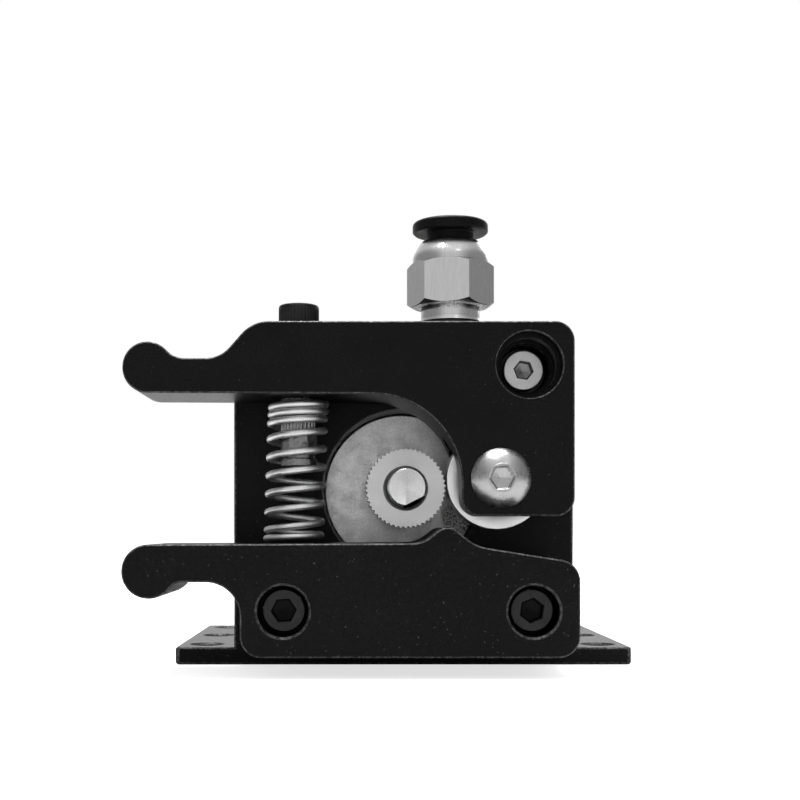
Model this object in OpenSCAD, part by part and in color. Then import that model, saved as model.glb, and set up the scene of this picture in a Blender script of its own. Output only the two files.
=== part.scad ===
// Remote filament extruder: stepper motor on a bracket, drive gear, hinged idler arm with a
// finger lever, fixed drive block with a matching lever, return spring and push-in tube fitting.
// X is to the right, Y is away from the drive side, Z is up. The origin is the centre of the
// base plate's bolt pattern, on its underside. Heights are given from the motor's axis.

/* [Bracket] */
// Width of the base plate
base_w = 62.6; // [60:0.2:70]
// Depth of the base plate
base_d = 39; // [37:0.5:50]
// Thickness of the base plate
base_t = 2.4; // [2:0.1:2.5]
// Spacing of the base holes across the plate
base_hole_dx = 54.8; // [52:0.2:56]
// Spacing of the outer rows of base holes, front to back
base_hole_dy = 29.8; // [24:0.2:32]
// Diameter of the base holes
base_hole_d = 4.4; // [3.2:0.1:5]
// Width of the upright wall
wall_w = 46.4; // [44:0.2:50]
// Thickness of the upright wall
wall_t = 10; // [8:0.5:10]
// Height of the motor's axis above the underside
axis_h = 23.9; // [23.8:0.1:25]

/* [Motor] */
// Width and height of the motor's square body
motor_sq = 42.3; // [42:0.1:42.5]
// Length of the motor's body
motor_l = 34; // [34:1:48]
// Diameter of the motor's shaft
shaft_d = 5; // [4:0.5:5]
// Distance of the shaft's tip from the motor's face
shaft_out = 22.4; // [20:0.1:24]
// Spacing of the motor's face screws
screw_dx = 31; // [30:0.5:31]

/* [Drive] */
// Outside diameter of the drive gear
gear_d = 10.6; // [9:0.1:10.6]
// Length of the drive gear
gear_l = 11; // [9:0.5:11]
// Number of teeth on the drive gear
gear_teeth = 50; // [20:1:60]
// Outside diameter of the idler bearing
idler_d = 13; // [12:0.5:13]
// Width of the idler bearing
idler_w = 5; // [4:0.5:5]
// Diameter of the filament passage
filament_hole_d = 2.2; // [2:0.1:3.2]

/* [Levers] */
// Thickness of the idler arm, front to back
arm_t = 12.7; // [11:0.1:13]
// Thickness of the drive block, front to back
block_t = 17; // [15:0.5:18]
// Outside diameter of the return spring
spring_d = 8; // [7:0.1:8.4]
// Diameter of the return spring's wire
wire_d = 0.92; // [0.7:0.02:0.94]

/* [Fitting] */
// Width across the flats of the fitting's hexagon
fitting_af = 10; // [9:0.5:11]
// Diameter of the tube that the fitting holds
tube_d = 4; // [3:0.5:4]

/* [Hidden] */
$fn = 64;
over = 0.5;                             // how far a cutter runs past a face
arc_step = 9;                           // degrees of a rounded corner per straight edge

wall_front = -base_d / 2;               // the wall stands along the plate's front edge
motor_face = wall_front + wall_t;
motor_back = motor_face + motor_l;
screw_x = screw_dx / 2;

// Motor, front to back
boss_r = 11;
boss_l = 2;
front_cover_l = 9;
rear_cover_l = 8;
case_sink = 2.6;                        // depth of the counterbores of the case screws
connector = [16, 5.8, 7];               // width, depth and height of the plug socket
connector_sink = 3.8;                   // distance of its underside from the motor's top
connector_foot = axis_h + motor_sq / 2 - connector_sink;
stator_front = motor_face + front_cover_l;
stator_back = motor_back - rear_cover_l;
pole_r = 11.1;
rotor_r = 10.8;
bearing_r = 8;
bearing_w = 5;
bearing_inner_r = 4;
bearing_outer_in_r = 6.6;
front_bearing_y = motor_face + 1.5;
rear_bearing_y = stator_back + 1;
shaft_tip = motor_face - shaft_out;
flat_l = 15;                            // length of the shaft's flat
flat_r = 1.95;                          // distance of the flat from the axis
flat_turn = -63;                        // direction that the flat faces

// Fasteners
m3_r = 1.5;
m3_clear_r = 1.7;
m3_head_r = 2.75;
m3_head_h = 3;
m4_r = 2;
wall_screw_sink = 3.2;                  // depth of the wall screw's counterbore

// Drive
filament_y = -24.7;
filament_x = 6;
gear_front = -27;
hob_len = 5;                            // toothed length of the gear
hob_r = 0.95;                           // radius of the groove that grips the filament
hob_depth = 0.5;
idler_x = 11.85;
idler_z = 1.1;
idler_r = idler_d / 2;
idler_gap = 0.3;                        // thickness of each washer beside the bearing
idler_front = filament_y - idler_w / 2;
idler_back = filament_y + idler_w / 2;

// Levers
arm_back = wall_front - 0.3;
arm_front = arm_back - arm_t;
block_front = wall_front - block_t;
block_screw_seat = block_front + 5;
pivot_x = screw_x;
pivot_z = screw_x;
pivot_steps = [[4.42, 1.8], [3.7, 4.6], [3.15, 8.55]];   // radius and depth of the hole's steps
pivot_floor = arm_front + pivot_steps[2][1];
pivot_play = 0.05;                      // end play of the arm
pivot_bush_front = pivot_floor - pivot_play;
pivot_seat = pivot_bush_front - 0.5;    // seat of the screw's head, on the washer
bush_r = 2.3;
arm_top = 21;
arm_under = 11.82;                      // underside of the arm above the spring
block_top = -7.15;                      // top of the block under the spring
block_foot = -21.25;
block_nose = -4.6;                      // top of the block's nose under the nip
inlet_cone_top = -20.1;

// Spring and its guide
spring_y = arm_back - arm_t / 2;
spring_top_x = -14;
spring_foot_x = -14.7;
spring_turns = 9.8;
spring_top = arm_under - 0.1;
spring_foot = block_top + 0.04;
sleeve_foot = 2.8;
sleeve_r = 2.37;

// Fitting, by height
thread_r = 3;
thread_foot = 15;
seal_top = 21.9;
hex_foot = 24.25;
hex_top = 29.85;
dome_top = 32.67;
disc_foot = 33.73;
disc_top = 35.2;
disc_r = 4.98;
socket_r = tube_d / 2 + 0.1;
stem_r = 3.1;
stem_foot = 30.4;
cavity_r = 3.4;
cavity_foot = 26.2;

// Corners of the idler arm: x, height, rounding radius, anticlockwise from the lower right
arm_corners = [
    [21.2, -3.7, 2.4], [21.2, arm_top, 2.5], [-19.6, arm_top, 4.8], [-23.7, 16.15, 4.1],
    [-29.57, 16.15, 3.2], [-31.49, 18.25, 3.14], [-36.05, 18.25, 3.14], [-36.05, 11.93, 3.14],
    [6.9, 11.72, 11.35], [6.9, -3.7, 2.3]
];

// Corners of the drive block, in the same form
block_corners = [
    [21.2, -21.25, 2.7], [21.2, -9.5, 2.7], [8.34, -7.46, 5.5], [4.87, -4.61, 1.9],
    [1.72, -7.1, 3.8], [-35.45, -7.25, 3.34], [-35.45, -13.95, 3.34], [-30.47, -13.95, 3.3],
    [-28.87, -11.9, 1.95], [-20.8, -11.9, 4.3], [-20.8, -21.25, 2.6]
];

// ---------- outlines ----------

function unit(v) = v / norm(v);
function turned(v, a) = [v.x * cos(a) - v.y * sin(a), v.x * sin(a) + v.y * cos(a)];

// The arc that rounds corner p, between its neighbours a and b
function corner_arc(a, p, b, r) =
    let (
        to_a = unit(a - p),
        to_b = unit(b - p),
        half = acos(to_a * to_b) / 2,
        centre = p + unit(to_a + to_b) * r / sin(half),
        first = p + to_a * r / tan(half) - centre,
        last = p + to_b * r / tan(half) - centre,
        turn = sign(cross(first, last)) * (180 - 2 * half),
        steps = max(2, ceil(abs(turn) / arc_step))
    )
    [for (i = [0:steps]) centre + turned(first, turn * i / steps)];

function flat(c) = [c.x, c.y];
function rounded(corners) =
    let (n = len(corners))
    [for (i = [0:n - 1])
        each corner_arc(
            flat(corners[(i + n - 1) % n]), flat(corners[i]), flat(corners[(i + 1) % n]),
            corners[i][2]
        )
    ];

// An outline in X and height, made solid from y_front to y_back
module slab(y_front, y_back) {
    translate([0, y_back, axis_h])
        rotate([90, 0, 0])
            linear_extrude(y_back - y_front)
                children();
}

// A rod along Y at x and height z
module rod(x, z, y_front, y_back, r) {
    translate([x, y_back, axis_h + z])
        rotate([90, 0, 0])
            cylinder(r = r, h = y_back - y_front);
}

module ring(x, z, y_front, y_back, r_out, r_in) {
    difference() {
        rod(x, z, y_front, y_back, r_out);
        rod(x, z, y_front - over, y_back + over, r_in);
    }
}

// A round post along Z, between two heights from the motor's axis
module post(x, y, foot, top, r, r_top = undef) {
    translate([x, y, axis_h + foot])
        cylinder(r1 = r, r2 = is_undef(r_top) ? r : r_top, h = top - foot);
}

// Children built along Z, turned so that their top faces the front
module facing_front(x, y, z) {
    translate([x, y, axis_h + z])
        rotate([90, 0, 0])
            children();
}

module rounded_square(size, r) {
    polygon(rounded([
        [size / 2, -size / 2, r], [size / 2, size / 2, r],
        [-size / 2, size / 2, r], [-size / 2, -size / 2, r]
    ]));
}

// ---------- fasteners, with the seat of the head at z = 0 ----------

module hex_socket(af, top, depth) {
    translate([0, 0, top - depth])
        cylinder(d = af / cos(30), h = depth + over, $fn = 6);
}

module cap_screw(length, head_r = m3_head_r, head_h = m3_head_h, af = 2.5) {
    difference() {
        union() {
            cylinder(r = head_r, h = head_h - 0.3);
            translate([0, 0, head_h - 0.3])
                cylinder(r1 = head_r, r2 = head_r - 0.3, h = 0.3);
            translate([0, 0, -length])
                cylinder(r = m3_r, h = length);
        }
        hex_socket(af, head_h, head_h * 0.55);
    }
}

module button_screw(length, head_r, head_h, af) {
    ball_r = (head_r * head_r + head_h * head_h) / (2 * head_h) + 0.35;
    difference() {
        union() {
            intersection() {
                translate([0, 0, head_h - ball_r])
                    sphere(r = ball_r);
                cylinder(r = head_r, h = head_h);
            }
            translate([0, 0, -length])
                cylinder(r = m4_r, h = length);
        }
        hex_socket(af, head_h, 1.4);
    }
}

// ---------- bracket and drive block ----------

module mount_bracket() {
    wall_top = 20.7;
    color("dimgray") difference() {
        union() {
            translate([-base_w / 2, -base_d / 2, 0])
                cube([base_w, base_d, base_t]);
            slab(wall_front, motor_face)
                polygon(concat(
                    [[-wall_w / 2, base_t / 2 - axis_h], [wall_w / 2, base_t / 2 - axis_h]],
                    corner_arc([wall_w / 2, 0], [wall_w / 2, wall_top], [0, wall_top], 3.5),
                    corner_arc([0, wall_top], [-wall_w / 2, wall_top], [-wall_w / 2, 0], 3.5)
                ));
        }
        for (x = [-1, 1], y = [-1, 0, 1])
            translate([x * base_hole_dx / 2, y * base_hole_dy / 2, -over])
                cylinder(d = base_hole_d, h = base_t + 2 * over);
        rod(0, 0, wall_front - over, motor_face + over, boss_r + 0.1);
        for (x = [-1, 1], z = [-1, 1])
            rod(x * screw_x, z * screw_x, wall_front - over, motor_face + over, m3_clear_r);
        rod(-screw_x, screw_x, wall_front - over, wall_front + wall_screw_sink, m3_head_r + 0.35);
    }
}

module drive_block() {
    color("dimgray") difference() {
        slab(block_front, wall_front)
            polygon(rounded(block_corners));
        for (x = [-1, 1]) {
            rod(x * screw_x, -screw_x, block_front - over, wall_front + over, m3_clear_r);
            rod(x * screw_x, -screw_x, block_front - over, block_screw_seat, m3_head_r + 0.45);
        }
        post(filament_x, filament_y, block_foot - over, block_nose + over, filament_hole_d / 2);
        post(filament_x, filament_y, block_foot - 0.05, inlet_cone_top, 2.2, filament_hole_d / 2);
    }
}

module block_screws() {
    color("black") for (x = [-1, 1])
        facing_front(x * screw_x, block_screw_seat, -screw_x)
            cap_screw(25);
}

module wall_screw() {
    color("black")
        facing_front(-screw_x, wall_front + wall_screw_sink, screw_x)
            cap_screw(10);
}

// ---------- motor ----------

module motor_square(corner) {
    polygon(rounded([
        for (a = [-45:90:225]) each [
            for (side = [-1, 1])
                let (
                    reach = motor_sq / 2,
                    sx = sign(cos(a)),
                    sz = sign(sin(a)),
                    first = (side < 0) == (sx * sz > 0)
                )
                first ? [sx * reach, sz * (reach - corner), 0.4]
                      : [sx * (reach - corner), sz * reach, 0.4]
        ]
    ]));
}

module case_screw_holes(y_front, y_back, r) {
    for (x = [-1, 1], z = [-1, 1])
        rod(x * screw_x, z * screw_x, y_front, y_back, r);
}

module motor_front_cover() {
    color("darkgray") difference() {
        union() {
            slab(motor_face, stator_front)
                motor_square(2.6);
            rod(0, 0, motor_face - boss_l, motor_face + over, boss_r);
        }
        rod(0, 0, motor_face - boss_l - over, motor_face + 3, 4.6);
        rod(0, 0, front_bearing_y, stator_front + over, bearing_r);
        rod(0, 0, front_bearing_y + bearing_w + 0.2, stator_front + over, 17.5);
        case_screw_holes(motor_face - over, stator_front + over, m3_r);
    }
}

module motor_rear_cover() {
    color("darkgray") difference() {
        slab(stator_back, motor_back)
            motor_square(2.6);
        rod(0, 0, stator_back - over, rear_bearing_y + bearing_w + 0.6, bearing_r);
        case_screw_holes(stator_back - over, motor_back + over, m3_clear_r);
        case_screw_holes(motor_back - case_sink, motor_back + over, m3_head_r + 0.2);
        translate([-connector.x / 2 - 0.2, stator_back - over, connector_foot - 0.2])
            cube([connector.x + 0.4, connector.y + 0.2 + over, connector_sink + 0.2 + over]);
    }
}

module motor_stator() {
    tooth_w = 4.4;
    color("silver") slab(stator_front, stator_back) difference() {
        motor_square(4.2);
        difference() {
            circle(r = 17.5);
            for (a = [0:45:315])
                rotate(a + 22.5)
                    translate([pole_r - 1, -tooth_w / 2])
                        square([10, tooth_w]);
            difference() {
                circle(r = pole_r + 1.6);
                for (a = [0:45:315])
                    rotate(a)
                        translate([8, -1])
                            square([10, 2]);
            }
        }
        circle(r = pole_r);
        for (x = [-1, 1], z = [-1, 1])
            translate([x * screw_x, z * screw_x])
                circle(r = m3_clear_r);
    }
}

module motor_coils() {
    coil_w = 7.2;
    coil_in = 13;
    coil_out = 17;
    slot_w = 4.6;
    color("peru") for (a = [0:45:315]) slab(stator_front - 2.2, stator_back) {
        rotate(a + 22.5) difference() {
            translate([coil_in, -coil_w / 2])
                square([coil_out - coil_in, coil_w]);
            translate([coil_in - 1, -slot_w / 2])
                square([coil_out - coil_in + 2, slot_w]);
        }
    }
}

module motor_case_screws() {
    color("gray") for (x = [-1, 1], z = [-1, 1])
        translate([x * screw_x, motor_back - case_sink, axis_h + z * screw_x])
            rotate([-90, 0, 0])
                cap_screw(motor_l - case_sink - 6, head_h = 2.4, af = 2);
}

module motor_connector() {
    wall = 1;
    floor_t = 1.5;
    color("white") translate([-connector.x / 2, stator_back, connector_foot]) difference() {
        cube(connector);
        translate([wall, wall, floor_t])
            cube([connector.x - 2 * wall, connector.y - 2 * wall, connector.z]);
    }
}

module bearing_rings(r_out, r_in) {
    for (y = [front_bearing_y, rear_bearing_y])
        ring(0, 0, y, y + bearing_w, r_out, r_in);
}

module motor_bearing_outer_rings() {
    color("silver")
        bearing_rings(bearing_r, bearing_outer_in_r);
}

module motor_bearing_inner_rings() {
    color("silver")
        bearing_rings(bearing_inner_r, shaft_d / 2);
}

module motor_bearing_balls() {
    mid_r = (bearing_inner_r + bearing_outer_in_r) / 2;
    ball_r = (bearing_outer_in_r - bearing_inner_r) / 2 - 0.05;
    color("silver") for (y = [front_bearing_y, rear_bearing_y], a = [0:45:315])
        translate([mid_r * cos(a), y + bearing_w / 2, axis_h + mid_r * sin(a)])
            sphere(r = ball_r, $fn = 32);
}

module motor_wave_washer() {
    color("gray")
        ring(0, 0, rear_bearing_y + bearing_w, rear_bearing_y + bearing_w + 0.5, 7.6, 5.6);
}

module motor_shaft() {
    color("lightgray") difference() {
        union() {
            rod(0, 0, shaft_tip + 0.4, rear_bearing_y + bearing_w, shaft_d / 2);
            translate([0, shaft_tip, axis_h])
                rotate([-90, 0, 0])
                    cylinder(r1 = shaft_d / 2 - 0.4, r2 = shaft_d / 2, h = 0.4);
        }
        translate([0, shaft_tip + flat_l, axis_h])
            rotate([90, -flat_turn, 0])
                translate([flat_r, -shaft_d, 0])
                    cube([shaft_d, 2 * shaft_d, flat_l + over]);
    }
}

function toothed(teeth, r_tip, r_root, turn = 0) = [
    for (i = [0:2 * teeth - 1])
        let (r = i % 2 == 0 ? r_tip : r_root, a = turn + i * 180 / teeth)
        [r * cos(a), r * sin(a)]
];

module rotor_core() {
    magnet_l = 2;
    half_l = (stator_back - stator_front - magnet_l) / 2;
    color("gray") for (half = [0, 1])
        difference() {
            slab(stator_front + half * (half_l + magnet_l),
                 stator_front + half * (half_l + magnet_l) + half_l)
                polygon(toothed(50, rotor_r, rotor_r - 0.6, half * 3.6));
            rod(0, 0, stator_front - over, stator_back + over, shaft_d / 2);
        }
}

module rotor_magnet() {
    middle = (stator_front + stator_back) / 2;
    color("dimgray")
        ring(0, 0, middle - 1, middle + 1, rotor_r - 0.8, shaft_d / 2);
}

// ---------- drive gear ----------

module drive_gear() {
    gear_back = gear_front + gear_l;
    tip_r = gear_d / 2;
    root_r = tip_r - 0.3;
    groove_at = tip_r + hob_r - hob_depth;      // distance of the groove's centre from the axis
    groove_half = sqrt(hob_r * hob_r - (groove_at - root_r) * (groove_at - root_r));
    groove_turn = asin(groove_half / hob_r);
    core_r = 2;
    lap = 0.04;
    color("gainsboro") difference() {
        union() {
            slab(gear_front, filament_y - groove_half + lap)
                polygon(toothed(gear_teeth, tip_r, root_r));
            slab(filament_y + groove_half - lap, gear_front + hob_len)
                polygon(toothed(gear_teeth, tip_r, root_r));
            translate([0, filament_y, axis_h])
                rotate([90, 0, 0])
                    rotate_extrude()
                        polygon(concat(
                            [[core_r, groove_half], [core_r, -groove_half]],
                            [for (share = [-1:0.25:1])
                                let (a = share * groove_turn)
                                [groove_at - hob_r * cos(a), hob_r * sin(a)]
                            ]
                        ));
            rod(0, 0, gear_front + hob_len - lap, gear_back, root_r - lap);
        }
        rod(0, 0, gear_front - over, gear_back + over, shaft_d / 2);
        facing_front(0, gear_front + 0.45, 0)
            cylinder(r1 = shaft_d / 2, r2 = shaft_d / 2 + 0.95, h = 0.95);
        grub(flat_r, tip_r + over);
    }
}

// A round radial shape through the hub, square to the shaft's flat
module grub(r_in, r_out) {
    translate([0, gear_front + gear_l - 3, axis_h])
        rotate([0, 90 - flat_turn, 0])
            translate([0, 0, r_in])
                cylinder(r = m3_r, h = r_out - r_in);
}

module gear_grub_screw() {
    color("black") difference() {
        grub(flat_r, gear_d / 2 - 0.6);
        translate([0, gear_front + gear_l - 3, axis_h])
            rotate([0, 90 - flat_turn, 0])
                translate([0, 0, 3.2])
                    cylinder(d = 1.5 / cos(30), h = 3, $fn = 6);
    }
}

// ---------- idler arm and its pivot ----------

module idler_arm() {
    color("dimgray") difference() {
        slab(arm_front, arm_back)
            polygon(rounded(arm_corners));
        for (s = pivot_steps)
            rod(pivot_x, pivot_z, arm_front - over, arm_front + s[1], s[0]);
        rod(pivot_x, pivot_z, pivot_floor - over, arm_back + over, bush_r + 0.05);
        rod(idler_x, idler_z, idler_front - idler_gap, idler_back + idler_gap, idler_r + 0.6);
        rod(idler_x, idler_z, arm_front - over, arm_back + over, m4_r);
        post(filament_x, filament_y, 0, arm_top, filament_hole_d / 2 + 0.1);
        post(filament_x, filament_y, thread_foot, arm_top + over, thread_r);
        post(spring_top_x, spring_y, arm_under - 1, arm_top + over, m3_r + 0.05);
    }
}

module pivot_screw() {
    color("silver")
        facing_front(pivot_x, pivot_seat, pivot_z)
            cap_screw(18, head_r = 2.7, head_h = 2, af = 2);
}

module pivot_washer() {
    color("silver")
        ring(pivot_x, pivot_z, pivot_seat, pivot_bush_front, 3, m3_r + 0.1);
}

module pivot_bush() {
    color("goldenrod") difference() {
        union() {
            rod(pivot_x, pivot_z, pivot_bush_front, wall_front, bush_r);
            rod(pivot_x, pivot_z, wall_front - 0.25, wall_front, 3.5);
        }
        rod(pivot_x, pivot_z, pivot_floor - over, wall_front + over, m3_r + 0.1);
    }
}

module idler_screw() {
    color("silver")
        facing_front(idler_x, arm_front, idler_z)
            button_screw(12, 3.8, 2.2, 2.5);
}

module idler_washers() {
    color("silver") {
        ring(idler_x, idler_z, idler_front - idler_gap, idler_front, 2.9, m4_r);
        ring(idler_x, idler_z, idler_back, idler_back + idler_gap, 2.9, m4_r);
    }
}

module idler_inner_ring() {
    color("silver")
        ring(idler_x, idler_z, idler_front, idler_back, 3.1, m4_r);
}

module idler_balls() {
    color("silver") for (a = [0:360 / 7:359])
        translate([idler_x + 4.25 * cos(a), filament_y, axis_h + idler_z + 4.25 * sin(a)])
            sphere(r = 1.08, $fn = 32);
}

module idler_outer_ring() {
    color("gainsboro")
        ring(idler_x, idler_z, idler_front, idler_back, idler_r, 5.4);
}

module idler_shields() {
    shield_t = 0.25;
    inset = 0.2;
    color("gray") {
        ring(idler_x, idler_z, idler_front + inset, idler_front + inset + shield_t, 5.4, 3.5);
        ring(idler_x, idler_z, idler_back - inset - shield_t, idler_back - inset, 5.4, 3.5);
    }
}

// ---------- spring and its guide ----------

module guide_screw() {
    color("black") translate([spring_top_x, spring_y, axis_h + arm_top])
        cap_screw(16, head_r = 2.65);
}

module guide_sleeve() {
    knurl_foot = 7.4;
    hex_h = 2.6;
    color("lightgray") difference() {
        union() {
            translate([spring_top_x, spring_y, axis_h + knurl_foot])
                linear_extrude(arm_under - 0.06 - knurl_foot)
                    polygon(toothed(28, sleeve_r, sleeve_r - 0.14));
            post(spring_top_x, spring_y, sleeve_foot + 1.1, knurl_foot, sleeve_r - 0.27);
            translate([spring_top_x, spring_y, axis_h + knurl_foot - hex_h - 0.3])
                cylinder(r = sleeve_r, h = hex_h, $fn = 12);
            post(spring_top_x, spring_y, sleeve_foot, sleeve_foot + 1.1, sleeve_r);
        }
        post(spring_top_x, spring_y, sleeve_foot - over, arm_under + over, m3_r);
    }
}

coil_steps = 14;                        // rings per turn of the spring
wire_sides = 8;
coil_rings = round(spring_turns * coil_steps);
function pitch_shape(turn) =            // 0 in the closed end turns, 1 in the open ones
    min(1, max(0, (turn - 0.8) / 1.4)) * min(1, max(0, (spring_turns - 0.6 - turn) / 1.3));
closed_pitch = wire_d + 0.03;
shape_sum = [
    for (i = 0, s = 0; i <= coil_rings; s = s + pitch_shape(i / coil_steps) / coil_steps, i = i + 1)
        s
];
open_pitch = (spring_top - spring_foot - wire_d - closed_pitch * spring_turns)
    / shape_sum[coil_rings];

// Centre of the wire at ring i, counted from the foot
function wire_at(i) =
    let (
        turn = i / coil_steps,
        rise = closed_pitch * turn + open_pitch * shape_sum[i],
        share = i / coil_rings,
        a = 360 * turn + 150,
        r = (spring_d - wire_d) / 2
    )
    [
        spring_foot_x + (spring_top_x - spring_foot_x) * share + r * cos(a),
        spring_y + r * sin(a),
        axis_h + spring_foot + wire_d / 2 + rise
    ];

module arm_spring() {
    points = [
        for (i = [0:coil_rings], k = [0:wire_sides - 1])
            let (
                p = wire_at(i),
                a = 360 * i / coil_steps + 150,
                side = 360 * k / wire_sides
            )
            p + wire_d / 2 * [cos(side) * cos(a), cos(side) * sin(a), sin(side)]
    ];
    last = coil_rings * wire_sides;
    faces = concat(
        [[for (k = [0:wire_sides - 1]) k]],
        [[for (k = [wire_sides - 1:-1:0]) last + k]],
        [
            for (i = [0:coil_rings - 1], k = [0:wire_sides - 1])
                let (a = i * wire_sides + k, b = i * wire_sides + (k + 1) % wire_sides)
                [b, a, a + wire_sides, b + wire_sides]
        ]
    );
    color("silver")
        polyhedron(points, faces);
}

// ---------- push-in tube fitting ----------

module fitting_axis() {
    translate([filament_x, filament_y, axis_h])
        children();
}

// A straight or tapered length of a turned part, between two heights
module shaft_part(foot, top, r, r_top = undef) {
    translate([0, 0, foot])
        cylinder(r1 = r, r2 = is_undef(r_top) ? r : r_top, h = top - foot);
}

module fitting_body() {
    neck_r = 3.88;
    hex_r = fitting_af / 2 / cos(30);
    chamfer_r = fitting_af / 2 - 0.1;
    dome_r = 4.95;
    dome_h = 1.9;
    top_r = 3.74;
    dome_sink = (dome_r * dome_r - top_r * top_r - dome_h * dome_h) / (2 * dome_h);
    passage_r = filament_hole_d / 2 + 0.2;
    color("lightgray") fitting_axis() difference() {
        union() {
            shaft_part(thread_foot, hex_top, thread_r);
            shaft_part(seal_top, hex_top, neck_r);
            intersection() {
                translate([0, 0, hex_foot])
                    rotate(-9.4)
                        cylinder(r = hex_r, h = hex_top - hex_foot, $fn = 6);
                union() {
                    shaft_part(hex_foot, hex_foot + 0.6, chamfer_r, chamfer_r + 0.9);
                    shaft_part(hex_foot + 0.5, hex_top - 0.9, chamfer_r + 0.9);
                    shaft_part(hex_top - 1, hex_top, chamfer_r + 0.9, chamfer_r);
                }
            }
            intersection() {
                translate([0, 0, hex_top - dome_sink])
                    sphere(r = norm([dome_r, dome_sink]));
                shaft_part(hex_top - over, hex_top + dome_h, dome_r);
            }
            shaft_part(hex_top, dome_top, top_r);
        }
        shaft_part(thread_foot - over, dome_top, passage_r);
        shaft_part(seal_top, dome_top, socket_r);
        shaft_part(cavity_foot, dome_top + over, cavity_r);
    }
}

module fitting_ring(foot, top, r_out, r_in) {
    fitting_axis() translate([0, 0, foot]) difference() {
        cylinder(r = r_out, h = top - foot);
        translate([0, 0, -over])
            cylinder(r = r_in, h = top - foot + 2 * over);
    }
}

module fitting_seal() {
    color("black")
        fitting_ring(arm_top, seal_top, 3.98, thread_r);
}

module fitting_insert() {
    color("silver")
        fitting_ring(hex_top, dome_top - 0.2, cavity_r, stem_r + 0.06);
}

module tube_o_ring() {
    color("black") fitting_axis() translate([0, 0, cavity_foot + 0.66])
        rotate_extrude()
            translate([cavity_r - 0.64, 0])
                circle(r = 0.62, $fn = 32);
}

module grip_claw() {
    claw_foot = 28;
    claw_h = 1;
    color("silver") fitting_axis() difference() {
        shaft_part(claw_foot, claw_foot + claw_h, cavity_r, cavity_r - 0.3);
        shaft_part(claw_foot - 0.1, claw_foot + claw_h + 0.1, socket_r, cavity_r - 0.7);
    }
}

module release_collet() {
    rim = 0.55;
    color("black") fitting_axis() difference() {
        rotate_extrude()
            polygon(concat(
                [[0, stem_foot], [stem_r - 0.2, stem_foot], [stem_r, stem_foot + 0.3]],
                [[stem_r, disc_foot], [disc_r, disc_foot]],
                [for (a = [0:15:90]) [
                    disc_r - rim + rim * cos(a), disc_top - rim + rim * sin(a)
                ]],
                [[0, disc_top]]
            ));
        translate([0, 0, stem_foot - over])
            cylinder(r = socket_r, h = disc_top - stem_foot + 2 * over);
    }
}

mount_bracket();
drive_block();
block_screws();
wall_screw();
motor_front_cover();
motor_stator();
motor_coils();
motor_rear_cover();
motor_case_screws();
motor_connector();
motor_bearing_outer_rings();
motor_bearing_balls();
motor_wave_washer();
motor_bearing_inner_rings();
motor_shaft();
rotor_core();
rotor_magnet();
drive_gear();
gear_grub_screw();
idler_arm();
pivot_screw();
pivot_washer();
pivot_bush();
idler_screw();
idler_washers();
idler_inner_ring();
idler_balls();
idler_outer_ring();
idler_shields();
guide_screw();
guide_sleeve();
arm_spring();
fitting_body();
fitting_seal();
fitting_insert();
tube_o_ring();
grip_claw();
release_collet();
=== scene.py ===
"""Looks of the extruder gear assembly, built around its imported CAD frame.

Pieces are built in millimetres in the CAD frame and scaled to metres when they are placed.
A height "h" counts from the motor's axis, and "t" runs along a turned part's own axis.
"""
import math

import bmesh
import bpy
from mathutils import Matrix, Vector


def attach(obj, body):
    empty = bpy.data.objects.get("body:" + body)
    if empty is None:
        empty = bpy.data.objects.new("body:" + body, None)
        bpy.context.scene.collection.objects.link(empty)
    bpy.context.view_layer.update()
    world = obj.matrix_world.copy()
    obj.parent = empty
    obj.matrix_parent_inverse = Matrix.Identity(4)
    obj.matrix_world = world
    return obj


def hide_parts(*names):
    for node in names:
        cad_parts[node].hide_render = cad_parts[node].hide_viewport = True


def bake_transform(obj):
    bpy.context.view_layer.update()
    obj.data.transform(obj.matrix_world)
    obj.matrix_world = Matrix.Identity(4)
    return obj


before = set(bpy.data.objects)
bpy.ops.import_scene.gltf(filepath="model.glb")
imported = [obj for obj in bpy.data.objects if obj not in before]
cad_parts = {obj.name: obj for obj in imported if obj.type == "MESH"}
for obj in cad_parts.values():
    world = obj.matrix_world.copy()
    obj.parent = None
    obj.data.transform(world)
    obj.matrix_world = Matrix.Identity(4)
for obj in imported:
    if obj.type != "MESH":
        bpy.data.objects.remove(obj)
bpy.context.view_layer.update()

MM = 0.001
AXIS_H = 23.9                   # height of the motor's axis over the underside
BASE = 2.4                      # thickness of the base plate
EDGE = 0.2                      # chamfer of the machined black parts
M3_HOLE = 1.7                   # radius of a hole that lets an M3 screw pass
SCREW = 15.5                    # the motor's screws stand this far from its axis
SCREWS = [(x, h) for x in (-SCREW, SCREW) for h in (-SCREW, SCREW)]
FILAMENT = (6.0, -24.7)         # x and y of the filament's way
GUIDE = (-14, -26.15)           # x and y of the guide screw inside the spring
PIVOT = (SCREW, SCREW)          # x and h of the arm's hinge
IDLER = (11.85, 1.1)            # x and h of the idler's axis
FLAT = 63                       # the shaft's flat is turned this many degrees clockwise
SOCKETS = []                    # (inverse matrix, radius, mouth's t) of every hexagon socket

# How far before the origin these faces stand, which is their t under front()
WALL_BACK, WALL_FRONT = 9.5, 19.5
ARM_BACK, ARM_FRONT = 19.8, 32.5
BLOCK_FRONT = 36.5

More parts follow.
